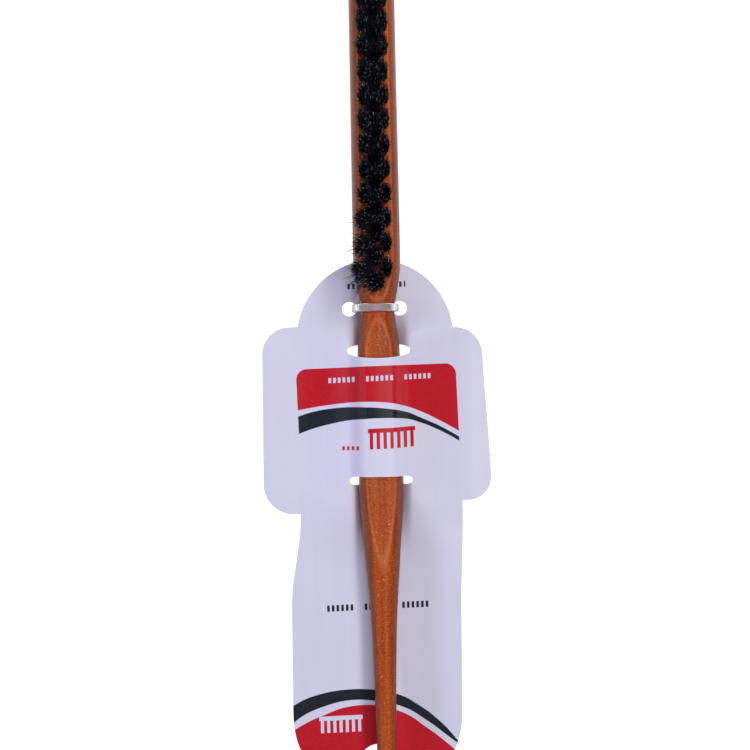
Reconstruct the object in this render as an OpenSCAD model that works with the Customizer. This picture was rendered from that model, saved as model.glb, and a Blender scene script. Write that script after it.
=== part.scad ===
// A slim three-row hair brush with a turned wooden body and a pointed tail,
// threaded through a die-cut hang card and held to it by a small cable tie.
// Millimetres. The brush axis runs along Y, head towards +Y, bristles towards +Z.
// z = 0 is the surface that the brush lies on, and the origin is under the middle.

/* [Wooden body] */
// Distance from the middle to the end of the head
head_end = 121; // [120:0.5:126]
// Distance from the middle to the tip of the tail
tail_end = 120.4; // [116:0.2:122]
// Width of the head
head_d = 14; // [13.6:0.1:15]
// Diameter at the narrowest place of the neck
neck_d = 9.9; // [9:0.1:10.2]
// Diameter of the belly that the hand holds
belly_d = 13.2; // [12:0.1:13.4]
// Diameter of the tail two thirds of the way down
tail_d = 7.4; // [6.6:0.1:8]
// Diameter of the tail just above its tip
tip_d = 5.7; // [4.6:0.1:6]
// Thickness between the flats on the front and the back
slab_t = 10.2; // [9.4:0.1:10.4]

/* [Bristles] */
// Distance between tufts along a row
tuft_pitch = 7.05; // [6.6:0.05:7.1]
// Distance from the middle row to each side row
row_offset = 2.9; // [2.8:0.05:3.1]
// Diameter of the drilled tuft holes
hole_d = 2.6; // [2.2:0.1:2.7]
// Depth of the drilled tuft holes
hole_depth = 6; // [5:0.5:7]
// Height of the bristles above the wood
bristle_h = 12.5; // [10:0.5:16]
// Diameter of a tuft at its tip
tuft_tip_d = 3.7; // [3:0.1:4]

/* [Hang card] */
// Thickness of the card
card_t = 0.45; // [0.35:0.05:0.6]
// Radius of the rounded top of the card
lobe_r = 23.3; // [22.8:0.1:24]
// Distance from the card's centreline to the edge of a wing
wing_half = 33.6; // [32.5:0.1:34.5]
// Distance from the centreline to the edge of the card's lower part
leg_half = 25.3; // [24.6:0.1:25.8]
// Half the length of the slots that the brush is threaded through
slot_half = 9.2; // [9.1:0.1:10]
// Radius of the hole that the card hangs by
hang_r = 6.2; // [4:0.1:7]

/* [Cable tie] */
// Width of the tie's strap
tie_w = 2.15; // [1.9:0.05:2.6]
// Thickness of the tie's strap
tie_t = 0.95; // [0.8:0.05:1]
// Height of the tie's head behind the card
tie_head_h = 2.8; // [2.4:0.1:3.2]

/* [Hidden] */
$fn = 48;
clear = 0.3;
slab = slab_t / 2;
card_front = -slab - clear;
tie_back_gap = 0.15;
axis_z = -card_front + card_t + tie_back_gap + tie_head_h;

// Places along the brush
head_shoulder_y = 37;
neck_y = 22.4;
belly_top_y = -14;
belly_low_y = -28;
tail_y = -72;
tip_y = -108;
first_outer_y = 33.5;
outer_count = 12;
middle_count = 13;

// Card outline: the card hangs a little askew on the brush
lobe_cy = 14;
wing_top_left = 17.6;
wing_top_right = 16.7;
wing_low_left = -38;
wing_low_right = -35;
wing_r_top = 8;
wing_r_low_left = 9;
wing_r_low_right = 7;
right_pull = 2.5;
right_more = 0.8;
leg_cy = -97.3;
leg_end = 24.7;
end_power = 2.3;
leg_lean = 0.45;
leg_waist_y = -66;
leg_waist = [3, -0.7];
card_skew = 0.0096;
card_x = -0.8;
card_skew_y = 23.8;
slot_top_y = 10.1;
slot_low_y = -28.1;
slot_top_open = 4.6;
slot_low_open = 2.8;
step_half = 0.2;
flat_half = 3.8;
wing_reach = 20;
strap_foot = 0.52;
crown_h = 0.9;
crown_half = 8;
rise = -card_front;
hang_y = -113.7;
hang_x = -2.2;
right_droop = 2.6;
left_lift = 1.5;

// Cable tie
tie_y = 22.6;
tie_x = -0.7;
tie_inner = 6;
tie_hole_r = 2.15;
tie_hole_xs = [-8.45, 6.55];
tie_head_w = 4.6;
tie_head_l = 4.4;

wood = "#a8502c";
bristle = "#14161c";
wire = "#b9bcc2";
card_white = "#dddcec";
nylon = "#e9e6e4";

ROWS = ["left", "middle", "right"];
function row_count(row) = row == 1 ? middle_count : outer_count;
function row_x(row) = (row - 1) * row_offset;
function tuft_y(row, k) = first_outer_y + (k - (row == 1 ? 0.5 : 0)) * tuft_pitch;
function tuft_name(row, k) = str("tuft_", ROWS[row], "_", k < 9 ? "0" : "", k + 1);

// ---------- Turned body ----------

// Places and radii that the turned outline passes through, from tail to head
STATIONS = [
    [-tail_end + tip_d / 2, tip_d / 2 - 0.1],
    [tip_y, tip_d / 2],
    [tail_y, tail_d / 2],
    [(tail_y + belly_low_y) / 2, (tail_d + belly_d) / 4 + 0.05],
    [belly_low_y, belly_d / 2],
    [belly_top_y, belly_d / 2],
    [(belly_top_y + neck_y) / 2 + 6, (belly_d + neck_d) / 4 + 0.45],
    [neck_y, neck_d / 2],
    [(neck_y + head_shoulder_y) / 2 - 2.2, (neck_d + head_d) / 4 - 0.15],
    [head_shoulder_y, head_d / 2],
    [head_end - head_d / 2, head_d / 2 - 0.2]
];

// Slope at a station, kept flat where the outline turns back
function chord(i) = (STATIONS[i + 1][1] - STATIONS[i][1]) / (STATIONS[i + 1][0] - STATIONS[i][0]);
function slope(i) =
    i == 0 ? chord(0) :
    i == len(STATIONS) - 1 ? 0 :
    chord(i - 1) * chord(i) <= 0 ? 0 :
    2 * chord(i - 1) * chord(i) / (chord(i - 1) + chord(i));

// Cubic curve between two stations, t from 0 to 1
function blend_r(i, t) =
    let (w = STATIONS[i + 1][0] - STATIONS[i][0])
    STATIONS[i][1] * (1 + 2 * t) * (1 - t) * (1 - t)
    + slope(i) * w * t * (1 - t) * (1 - t)
    + STATIONS[i + 1][1] * t * t * (3 - 2 * t)
    - slope(i + 1) * w * t * t * (1 - t);

outline_steps = 6;
cap_steps = 8;
function tip_cap() =
    let (r = STATIONS[0][1], y0 = STATIONS[0][0])
    [for (i = [0:cap_steps - 1]) [r * sin(90 * i / cap_steps), y0 - r * cos(90 * i / cap_steps)]];
function head_cap() =
    let (last = STATIONS[len(STATIONS) - 1], h = head_end - last[0])
    [for (i = [1:cap_steps]) [last[1] * cos(90 * i / cap_steps), last[0] + h * sin(90 * i / cap_steps)]];
function side_curve() = concat(
    [for (i = [0:len(STATIONS) - 2]) for (s = [0:outline_steps - 1])
        let (t = s / outline_steps)
        [blend_r(i, t), STATIONS[i][0] + t * (STATIONS[i + 1][0] - STATIONS[i][0])]],
    [[STATIONS[len(STATIONS) - 1][1], STATIONS[len(STATIONS) - 1][0]]]
);

module turned_blank() {
    rotate([-90, 0, 0])
        rotate_extrude()
            polygon(concat(tip_cap(), side_curve(), head_cap()));
}

// ---------- Tufts and their anchors ----------

anchor_t = 0.35;
anchor_h = 1.2;
anchor_bite = 0.35;
anchor_l = hole_d + 2 * anchor_bite;
anchor_lift = 0.25;
tuft_play = 0.1;
root_d = hole_d - tuft_play;

module at_tuft(row, k) {
    translate([row_x(row), tuft_y(row, k), axis_z + slab])
        children();
}

module anchor_bar() {
    translate([0, 0, -hole_depth + anchor_lift + anchor_h / 2])
        cube([anchor_t, anchor_l, anchor_h], center = true);
}

// Tufts near the neck are bent over towards its left side; a bend under 4 degrees is left out
lean_most = [16, 8, 0];
lean_turn = 20;
least_lean = 4;
function bend(row, k) = lean_most[row] * exp(-k * k / 6);
function lean(row, k) = bend(row, k) < least_lean ? 0 : bend(row, k);

// A tuft is narrower where it leaves its hole, and the more it leans the narrower, to clear the rim
waist = 0.94;
function waist_d(row, k) = waist * root_d * pow(cos(lean(row, k)), 2);

module tuft(row, k) {
    color(bristle)
        at_tuft(row, k)
            difference() {
                union() {
                    translate([0, 0, -hole_depth])
                        cylinder(d = root_d, h = hole_depth);
                    rotate([0, 0, lean_turn])
                        rotate([0, -lean(row, k), 0])
                            translate([0, 0, -root_d / 4])
                                cylinder(d1 = waist_d(row, k), d2 = tuft_tip_d, h = bristle_h + root_d / 4);
                }
                anchor_bar();
            }
}

module anchor_wires(row) {
    color(wire)
        for (k = [0:row_count(row) - 1])
            at_tuft(row, k) anchor_bar();
}

module brush_body() {
    color(wood)
        difference() {
            translate([0, 0, axis_z])
                intersection() {
                    turned_blank();
                    cube([head_d * 2, head_end * 3, slab_t], center = true);
                }
            for (row = [0:2])
                for (k = [0:row_count(row) - 1])
                    at_tuft(row, k) {
                        translate([0, 0, -hole_depth])
                            cylinder(d = hole_d, h = hole_depth + 1);
                        anchor_bar();
                    }
        }
}

// ---------- Hang card ----------

function smooth(t) = let (c = min(1, max(0, t))) c * c * (3 - 2 * c);
function centre_x(y) = card_x - (card_skew_y - y) * card_skew;

// Half-width of the card at height y; side is -1 on the left and 1 on the right
function wing_edge(y, top, low, r_low, half) =
    y > top - wing_r_top
        ? half - wing_r_top + sqrt(max(0, pow(wing_r_top, 2) - pow(y - top + wing_r_top, 2))) :
    y < low + r_low
        ? half - r_low + sqrt(max(0, pow(r_low, 2) - pow(low + r_low - y, 2))) :
    half;
function leg_edge(y, side) =
    leg_half - side * leg_lean
    - (side < 0 ? leg_waist[0] : leg_waist[1]) * smooth((y - leg_waist_y) / 27);
function leg_end_share(y) =
    pow(max(0, 1 - pow(max(0, leg_cy - y) / leg_end, end_power)), 1 / end_power);
function half_width(y, side) =
    let (top = side < 0 ? wing_top_left : wing_top_right)
    let (low = side < 0 ? wing_low_left : wing_low_right)
    let (r_low = side < 0 ? wing_r_low_left : wing_r_low_right)
    let (more = side < 0 ? 0 : right_more - right_pull * smooth((y - low) / (top - low)))
    y > top ? sqrt(max(0, lobe_r * lobe_r - pow(y - lobe_cy, 2))) :
    y > low ? wing_edge(y, top, low, r_low, wing_half + more) :
    leg_edge(y, side) * leg_end_share(y);
function edge_x(y, side) = centre_x(y) + side * half_width(y, side);

// Height of the card's front face over the brush axis. The strap between the slots
// bulges over the belly, and the rest passes behind the brush.
function over(y) = y < slot_top_y && y > slot_low_y ? 1 : 0;
function near_strap(y) = (1 - smooth((y - slot_top_y) / 8)) * (1 - smooth((slot_low_y - y) / 8));
function hump(x, foot = 0) =
    let (t = min(1, max(0, (abs(x) - flat_half) / (slot_half - flat_half))))
    1 - t * t * (3 - 2 * t) + foot * t * t * (1 - t);
function outer_fade(x, y) =
    let (t = min(1, max(0, (abs(x) - slot_half) / wing_reach)), near = near_strap(y))
    near * pow(1 - t, 2) + (1 - near) * (1 - smooth(t));
function gutter(x, y) =
    (1 - hump(x, strap_foot * over(y))) * outer_fade(x, y)
    * (1 - smooth((y - slot_top_y - 1) / 16)) * (1 - smooth((slot_low_y - 1 - y) / 26));
function crown(x) = crown_h * pow(max(0, 1 - pow(x / crown_half, 2)), 2);
function wing_bend(x, y) =
    x > 0 ? -right_droop * smooth((x - 12) / 21) * (1 - smooth((slot_low_y - y) / 30))
          : left_lift * smooth((-x - 12) / 21) * (1 - smooth((slot_low_y - y) / 30));
function leg_droop(y) = (axis_z + card_front - card_t) * smooth((slot_low_y - 12 - y) / 85);
function front_z(x, y) =
    axis_z + card_front + rise * gutter(x, y)
    + ((2 * rise + card_t) * hump(x, strap_foot) + crown(x)) * over(y)
    + wing_bend(x, y) - leg_droop(y);
function lean_factor(x, y) = sqrt(1 + pow((front_z(x + 0.1, y) - front_z(x - 0.1, y)) / 0.2, 2));
function back_z(x, y) = front_z(x, y) - card_t * lean_factor(x, y);

// Rows of the card's surface, closer together where the outline turns
row_gap = 0.5;
function sorted(v) =
    len(v) < 2 ? v :
    let (p = v[floor(len(v) / 2)])
    concat(sorted([for (a = v) if (a > p) a]), [p], sorted([for (a = v) if (a < p) a]));
function spread(v) = [for (i = [0:len(v) - 1]) if (i == 0 || v[i - 1] - v[i] > row_gap) v[i]];
TOP_ARC = [0, 18, 36, 54];
LOW_ARC = [0, 18, 36, 54, 72, 90];
row_list = spread(sorted(concat(
    [for (a = [84, 76, 68, 60, 49, 38, 27, 17]) lobe_cy + lobe_r * sin(a)],
    [wing_top_left + 0.3, wing_top_left - 0.25, wing_top_right + 0.1, wing_top_right - 0.4],
    [for (a = TOP_ARC) wing_top_left - wing_r_top + wing_r_top * sin(a)],
    [for (a = LOW_ARC) wing_low_left + wing_r_low_left * (1 - sin(a)) + 0.02],
    [for (a = LOW_ARC) wing_low_right + wing_r_low_right * (1 - sin(a)) + 0.02],
    [for (y = [3:-6:-25]) y],
    [for (y = [-43:-7.5:leg_cy]) y],
    [for (a = [0, 13, 26, 38, 49, 60, 69, 77, 84]) leg_cy - leg_end * sin(a)]
)));
slot_margin = 3.2;
function clear_of_slots(y) = min(abs(y - slot_top_y), abs(y - slot_low_y)) > slot_margin;
slot_rows = [
    slot_top_y + step_half, slot_top_y - step_half,
    slot_low_y + step_half, slot_low_y - step_half
];
CARD_ROWS = sorted(concat([for (y = row_list) if (clear_of_slots(y)) y], slot_rows));
first_slot = search(slot_rows[0], CARD_ROWS)[0];
second_slot = search(slot_rows[2], CARD_ROWS)[0];

// The two rows beside a slot bow away from each other. The upper slot is an ellipse, and
// the lower one is blunt at its ends.
function bow(x, open, power) =
    (open / 2 - step_half) * sqrt(max(0, 1 - pow(min(1, abs(x) / slot_half), power)));
function bow_at(i, x) =
    i == first_slot ? bow(x, slot_top_open, 2) :
    i == first_slot + 1 ? -bow(x, slot_top_open, 2) :
    i == second_slot ? bow(x, slot_low_open, 8) :
    i == second_slot + 1 ? -bow(x, slot_low_open, 8) : 0;
function row_y(i, x) = CARD_ROWS[i] + bow_at(i, x);

inner_cols = 9;
outer_cols = 4;
function inner_reach(y) = min(slot_half, 0.6 * min(-edge_x(y, -1), edge_x(y, 1)));
function column_x(y, j) =
    abs(j) <= inner_cols
        ? inner_reach(y) * j / inner_cols
        : let (side = sign(j), f = (abs(j) - inner_cols) / outer_cols)
          side * inner_reach(y) * (1 - f) + edge_x(y, side) * f;
cols = inner_cols + outer_cols;
per_row = 2 * cols + 1;

module card_sheet() {
    n = len(CARD_ROWS);
    total = n * per_row;
    function face_points(side) =
        [for (i = [0:n - 1]) for (j = [-cols:cols])
            let (x = column_x(CARD_ROWS[i], j), y = row_y(i, x))
            [x, y, side == 0 ? front_z(x, y) : back_z(x, y)]];
    function at(i, j, side = 0) = side * total + i * per_row + j + cols;
    function in_slot(i, j) =
        (i == first_slot || i == second_slot) && j >= -inner_cols && j < inner_cols;
    function cell(i, j, side) =
        let (a = at(i, j, side), b = at(i, j + 1, side))
        let (c = at(i + 1, j + 1, side), d = at(i + 1, j, side))
        side == 0 ? [[a, b, c], [a, c, d]] : [[a, c, b], [a, d, c]];
    function wall(p, q) = [[p, p + total, q + total], [p, q + total, q]];
    function slot_walls(i) = concat(
        [for (j = [-inner_cols:inner_cols - 1]) each wall(at(i, j + 1), at(i, j))],
        [for (j = [-inner_cols:inner_cols - 1]) each wall(at(i + 1, j), at(i + 1, j + 1))],
        wall(at(i, -inner_cols), at(i + 1, -inner_cols)),
        wall(at(i + 1, inner_cols), at(i, inner_cols))
    );
    faces = concat(
        [for (side = [0, 1]) for (i = [0:n - 2]) for (j = [-cols:cols - 1])
            if (!in_slot(i, j)) each cell(i, j, side)],
        [for (j = [-cols:cols - 1]) each wall(at(0, j), at(0, j + 1))],
        [for (j = [-cols:cols - 1]) each wall(at(n - 1, j + 1), at(n - 1, j))],
        [for (i = [0:n - 2]) each wall(at(i, cols), at(i + 1, cols))],
        [for (i = [0:n - 2]) each wall(at(i + 1, -cols), at(i, -cols))],
        slot_walls(first_slot),
        slot_walls(second_slot)
    );
    polyhedron(points = concat(face_points(0), face_points(1)), faces = faces);
}

module hang_card() {
    through = 4 * slab_t;
    color(card_white)
        difference() {
            card_sheet();
            for (x = tie_hole_xs)
                translate([x, tie_y, -1]) cylinder(r = tie_hole_r, h = through);
            translate([hang_x, hang_y, -1]) cylinder(r = hang_r, h = through);
        }
}

// ---------- Cable tie ----------

tie_outer = tie_inner + tie_t;
tie_arc_z = axis_z - 0.3;
tie_back_z = tie_head_h;
corner_r = 1.4;

// Loop of the tie seen along the brush: an arch in front, square corners behind
module arch(r, low, corner) {
    translate([0, tie_arc_z]) circle(r = r);
    translate([-r, low + corner]) square([2 * r, tie_arc_z - low - corner]);
    translate([-r + corner, low]) square([2 * (r - corner), corner + 0.1]);
    for (side = [-1, 1])
        translate([side * (r - corner), low + corner]) circle(r = corner);
}

module tie_head() {
    window = [tie_head_l - 1.6, 1.3];
    window_floor = 0.55;
    chamfer = 0.7;
    translate([tie_x, tie_y, 0])
        difference() {
            translate([-tie_head_w / 2, -tie_head_l / 2, 0])
                cube([tie_head_w, tie_head_l, tie_back_z]);
            for (side = [-1, 1])
                translate([0, side * tie_head_l / 2, 0])
                    rotate([45, 0, 0])
                        cube([tie_head_w + 1, chamfer, chamfer], center = true);
            translate([-tie_head_w, -window[0] / 2, window_floor])
                cube([2 * tie_head_w, window[0], window[1]]);
        }
}

module cut_tail() {
    stub = 1.6;
    tail_z = 0.7;
    translate([tie_x - tie_head_w / 2, tie_y - tie_w / 2, tail_z])
        cube([tie_head_w + stub, tie_w, tie_t]);
}

module cable_tie() {
    color(nylon)
        union() {
            translate([tie_x, tie_y + tie_w / 2, 0])
                rotate([90, 0, 0])
                    linear_extrude(tie_w)
                        difference() {
                            arch(tie_outer, tie_back_z - tie_t, corner_r);
                            arch(tie_inner, tie_back_z, corner_r - tie_t);
                        }
            tie_head();
            cut_tail();
        }
}

brush_body();
for (row = [0:2])
    for (k = [0:row_count(row) - 1])
        tuft(row, k);
anchor_wires(0);  // anchor_wires_left
anchor_wires(1);  // anchor_wires_middle
anchor_wires(2);  // anchor_wires_right
hang_card();
cable_tie();
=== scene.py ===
"""Looks for the slim wooden hair brush on its hang card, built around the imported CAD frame.

Shapes are given in millimetres in the CAD frame, and mesh_object() turns them into metres. Lights
are given in metres. The brush axis runs along Y with the head towards +Y, and the bristles stand
up along +Z.
"""
import math
import random

import bpy
from mathutils import Matrix, Vector
from mathutils.geometry import delaunay_2d_cdt


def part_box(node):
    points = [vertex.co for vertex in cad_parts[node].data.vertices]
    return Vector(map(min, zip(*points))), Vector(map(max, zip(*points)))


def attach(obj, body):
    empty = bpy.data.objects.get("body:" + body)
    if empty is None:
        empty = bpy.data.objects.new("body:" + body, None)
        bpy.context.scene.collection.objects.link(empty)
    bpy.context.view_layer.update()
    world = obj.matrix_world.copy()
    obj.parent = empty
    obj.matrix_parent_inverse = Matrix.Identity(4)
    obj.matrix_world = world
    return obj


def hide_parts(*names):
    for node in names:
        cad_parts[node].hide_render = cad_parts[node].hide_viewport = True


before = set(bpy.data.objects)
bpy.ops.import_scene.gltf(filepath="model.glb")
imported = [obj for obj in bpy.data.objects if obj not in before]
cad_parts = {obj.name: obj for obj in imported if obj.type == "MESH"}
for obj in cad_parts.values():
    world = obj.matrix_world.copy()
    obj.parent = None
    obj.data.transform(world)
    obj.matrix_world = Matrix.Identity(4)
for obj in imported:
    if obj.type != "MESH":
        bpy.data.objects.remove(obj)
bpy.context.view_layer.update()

MM = 0.001


def box_mm(node):
    """Lowest and highest corner of a CAD node, in millimetres."""
    low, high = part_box(node)
    return Vector(low) / MM, Vector(high) / MM


# ---------------------------------------------------------------- sizes, from the frame

wood_low, wood_high = box_mm("brush_body")
HEAD_END = wood_high.y
TAIL_END = -wood_low.y
HEAD_R = (wood_high.x - wood_low.x) / 2
SLAB = (wood_high.z - wood_low.z) / 2
AXIS_Z = (wood_high.z + wood_low.z) / 2
FRONT_Z = AXIS_Z + SLAB

ROW_NAMES = ["left", "middle", "right"]
LEFT, MIDDLE = 0, 1
ROW_COUNTS = [12, 13, 12]
tuft_low, tuft_high = box_mm("tuft_left_12")
before_high = box_mm("tuft_left_11")[1]
TUFT_TOP = tuft_high.z
BRISTLE_H = TUFT_TOP - FRONT_Z
PITCH = tuft_high.y - before_high.y
LAST_OUTER_Y = (tuft_low.y + tuft_high.y) / 2
ROW_OFFSET = -(tuft_low.x + tuft_high.x) / 2
HOLE_R = 1.3
HOLE_DEPTH = 6.0
HOLE_SIDES = 24
CHAMFER = 0.12
ROOT_DEPTH = 1.6
ROOT_R = 0.86 * HOLE_R

tie_low, tie_high = box_mm("cable_tie")
TIE_X = (tie_low.x + tie_high.x) / 2
TIE_Y = (tie_low.y + tie_high.y) / 2


# ---------------------------------------------------------------- mesh helpers


def mesh_object(name, verts, faces):
    """A plain mesh object from millimetre points."""
    mesh = bpy.data.meshes.new(name)
    mesh.from_pydata([tuple(c * MM for c in v) for v in verts], [], faces)
    obj = bpy.data.objects.new(name, mesh)
    bpy.context.scene.collection.objects.link(obj)
    return obj


def shade_smooth(mesh, sharp_angle=None):
    """Smooth shading, with sharp edges above an angle in degrees."""
    for polygon in mesh.polygons:
        polygon.use_smooth = True
    if sharp_angle:
        mesh.set_sharp_from_angle(angle=math.radians(sharp_angle))


def mesh_piece(name, verts, faces, body, material, sharp_angle=None):
    """A mesh object from millimetre points, riding on a body."""
    obj = mesh_object(name, verts, faces)
    mesh = obj.data
    mesh.validate()
    mesh.update()
    shade_smooth(mesh, sharp_angle)
    mesh.materials.append(material)
    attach(obj, body)
    return obj


def smooth(t):
    """0 up to t = 0 and 1 from t = 1, with an S-shaped step between."""
    t = min(1.0, max(0.0, t))
    return t * t * (3 - 2 * t)


def loft(rings):
    """Quads between equal rings of points, with a fan of triangles over each end."""
    verts = [p for ring in rings for p in ring]
    n = len(rings[0])
    faces = []
    for i in range(len(rings) - 1):
        for j in range(n):
            k = (j + 1) % n
            faces.append((i * n + j, i * n + k, (i + 1) * n + k, (i + 1) * n + j))
    for end in (0, len(rings) - 1):
        centre = sum((Vector(p) for p in rings[end]), Vector()) / n
        verts.append(tuple(centre))
        c = len(verts) - 1
        for j in range(n):
            a, b = end * n + j, end * n + (j + 1) % n
            faces.append((c, b, a) if end == 0 else (c, a, b))
    return verts, faces


def circle_points(x, y, r, count):
    turns = [2 * math.pi * i / count for i in range(count)]
    return [(x + r * math.cos(a), y + r * math.sin(a)) for a in turns]


# ---------------------------------------------------------------- node helpers


class Nodes:
    """Builds a material's node tree with plain arithmetic."""

    def __init__(self, name):
        self.material = bpy.data.materials.new(name)
        self.material.use_nodes = True
        self.tree = self.material.node_tree
        self.shader = self.tree.nodes["Principled BSDF"]
        texture_coords = self.tree.nodes.new("ShaderNodeTexCoord")
        self.coords = texture_coords.outputs["Object"]
        self.facing = texture_coords.outputs["Normal"]

    def link(self, value, socket):
        if isinstance(value, (int, float, tuple)):
            socket.default_value = value
        else:
            self.tree.links.new(value, socket)

    def math(self, op, a, b=0.0, c=0.0, clamp=False):
        node = self.tree.nodes.new("ShaderNodeMath")
        node.operation = op
        node.use_clamp = clamp
        for i, value in enumerate((a, b, c)):
            self.link(value, node.inputs[i])
        return node.outputs[0]

    def add(self, a, b):
        return self.math("ADD", a, b)

    def sub(self, a, b):
        return self.math("SUBTRACT", a, b)

    def mul(self, a, b):
        return self.math("MULTIPLY", a, b)

    def larger(self, a, b):
        return self.math("MAXIMUM", a, b)

    def inside(self, distance, softness):
        """1 where distance is negative and 0 where it is positive, with a soft edge."""
        return self.math("MULTIPLY_ADD", distance, -1.0 / softness, 0.5, clamp=True)

    def rectangle(self, x, y, box, blur):
        """1 inside a printed rectangle (left, right, bottom, top), in millimetres."""
        x0, x1, y0, y1 = box
        past = []
        for value, low, high in ((x, x0, x1), (y, y0, y1)):
            off_middle = self.math("ABSOLUTE", self.sub(value, (low + high) / 2 * MM))
            past.append(self.sub(off_middle, (high - low) / 2 * MM))
        return self.inside(self.larger(*past), blur)

    def stripes(self, x, x0, pitch, share, blur):
        """1 on evenly spaced stripes across x, in millimetres, from x0 on."""
        turn = self.math("FRACT", self.math("MULTIPLY_ADD", x, 1 / (pitch * MM), -x0 / pitch))
        off = self.sub(self.math("ABSOLUTE", self.sub(turn, 0.5)), share / 2)
        return self.inside(off, blur / (pitch * MM))

    def axes(self, vector=None):
        node = self.tree.nodes.new("ShaderNodeSeparateXYZ")
        self.link(vector or self.coords, node.inputs[0])
        return node.outputs

    def scaled(self, x, y, z):
        node = self.tree.nodes.new("ShaderNodeMapping")
        self.link(self.coords, node.inputs["Vector"])
        node.inputs["Scale"].default_value = (x, y, z)
        return node.outputs[0]

    def noise(self, vector, scale=1.0, detail=3.0, roughness=0.5, distortion=0.0):
        node = self.tree.nodes.new("ShaderNodeTexNoise")
        self.link(vector, node.inputs["Vector"])
        node.inputs["Scale"].default_value = scale
        node.inputs["Detail"].default_value = detail
        node.inputs["Roughness"].default_value = roughness
        node.inputs["Distortion"].default_value = distortion
        return node.outputs["Fac"]

    def ramp(self, value, stops):
        node = self.tree.nodes.new("ShaderNodeValToRGB")
        self.link(value, node.inputs[0])
        elements = node.color_ramp.elements
        while len(elements) < len(stops):
            elements.new(0.5)
        for element, (place, colour) in zip(elements, stops):
            element.position = place
            element.color = (*colour, 1.0)
        return node.outputs["Color"]

    def mix(self, amount, a, b, blend="MIX"):
        node = self.tree.nodes.new("ShaderNodeMix")
        node.data_type = "RGBA"
        node.blend_type = blend
        self.link(amount, node.inputs["Factor"])
        self.link(self.opaque(a), node.inputs[6])
        self.link(self.opaque(b), node.inputs[7])
        return node.outputs[2]

    def opaque(self, value):
        """A plain colour with its alpha, or any other value as it is."""
        return (*value, 1.0) if isinstance(value, tuple) and len(value) == 3 else value

    def attribute(self, name):
        node = self.tree.nodes.new("ShaderNodeAttribute")
        node.attribute_name = name
        return node.outputs["Fac"]

    def bump(self, height, strength, distance):
        node = self.tree.nodes.new("ShaderNodeBump")
        self.link(height, node.inputs["Height"])
        node.inputs["Strength"].default_value = strength
        node.inputs["Distance"].default_value = distance
        return node.outputs["Normal"]

    def set(self, **values):
        for key, value in values.items():
            self.link(self.opaque(value), self.shader.inputs[key.replace("_", " ")])
        return self.material


# ---------------------------------------------------------------- materials


def wood_material():
    """Orange-brown stain and ray flecks, with painted glints, a painted ridge highlight and
    painted shade on the sides.
    """
    n = Nodes("stained_wood")
    z = n.axes()[2]
    long_grain = n.noise(n.scaled(700, 30, 700), 1.0, 3.0, 0.55, 0.3)
    broad = n.noise(n.scaled(120, 12, 120), 1.0, 2.0, 0.5)
    rays = n.noise(n.scaled(1500, 3100, 1500), 1.0, 2.0, 0.6)
    glints = n.noise(n.scaled(1900, 2600, 1900), 1.0, 1.0, 0.4)
    base = n.ramp(long_grain, [
        (0.30, (0.325, 0.049, 0.0055)),
        (0.50, (0.415, 0.068, 0.0080)),
        (0.70, (0.475, 0.088, 0.0115)),
    ])
    patches = n.ramp(broad, [(0.3, (0.88, 0.84, 0.82)), (0.7, (1.08, 1.10, 1.12))])
    base = n.mix(1.0, base, patches, "MULTIPLY")
    flecks = n.ramp(rays, [
        (0.34, (0.66, 0.58, 0.55)),
        (0.52, (1.0, 1.0, 1.0)),
        (0.70, (1.22, 1.35, 1.5)),
    ])
    base = n.mix(1.0, base, flecks, "MULTIPLY")
    # painted glints: bright orange specks added into the stain colour
    painted_glints = n.ramp(glints, [(0.66, (0.0, 0.0, 0.0)), (0.76, (0.30, 0.15, 0.055))])
    base = n.mix(1.0, base, painted_glints, "ADD")
    # painted highlight: a paler line on the ridge just below each flat, widening into a V where
    # the tail narrows
    depth = n.sub(FRONT_Z * MM, z)
    near_flat = n.inside(n.sub(depth, 0.24 * MM), 0.24 * MM)
    under_flat = n.inside(n.sub(0.06 * MM, depth), 0.06 * MM)
    painted_ridge_highlight = n.mul(near_flat, under_flat)
    base = n.mix(n.mul(painted_ridge_highlight, 0.26), base, (0.70, 0.26, 0.11))
    # painted shade: the rounded sides, facing away from the top, are greyed and darkened; the same
    # side mask sets their coat
    side = n.inside(n.sub(n.axes(n.facing)[2], 0.80), 0.25)
    base = n.mix(side, base, n.mix(1.0, base, (0.55, 0.56, 0.57), "MULTIPLY"))
    height = n.add(n.mul(rays, 0.7), n.mul(glints, 0.5))
    return n.set(
        Base_Color=base,
        Roughness=0.34,
        Specular_IOR_Level=0.12,
        Coat_Weight=n.mul(side, 0.16),
        Coat_Roughness=0.15,
        Normal=n.bump(height, 0.35, 0.00010),
    )


def bristle_material():
    """Near-black bristle, a little blue, with worn pale tips on a few strands."""
    n = Nodes("bristle")
    pale = n.attribute("pale")
    shade = n.noise(n.scaled(1500, 1500, 260), 1.0, 2.0)
    dark = n.ramp(shade, [(0.3, (0.0075, 0.0085, 0.0135)), (0.7, (0.0210, 0.0230, 0.0340))])
    colour = n.mix(pale, dark, (0.28, 0.30, 0.33))
    return n.set(
        Base_Color=colour,
        Roughness=0.55,
        Specular_IOR_Level=0.06,
        Normal=n.bump(n.noise(n.scaled(9000, 9000, 2500)), 0.3, 0.00003),
    )


def anchor_material():
    """Drawn flat steel wire."""
    n = Nodes("anchor_wire")
    brushed = n.noise(n.scaled(9000, 700, 9000), 1.0, 3.0)
    colour = n.ramp(brushed, [(0.3, (0.42, 0.42, 0.41)), (0.7, (0.66, 0.66, 0.65))])
    return n.set(
        Base_Color=colour,
        Metallic=1.0,
        Roughness=0.34,
        Normal=n.bump(brushed, 0.2, 0.00002),
    )


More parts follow.
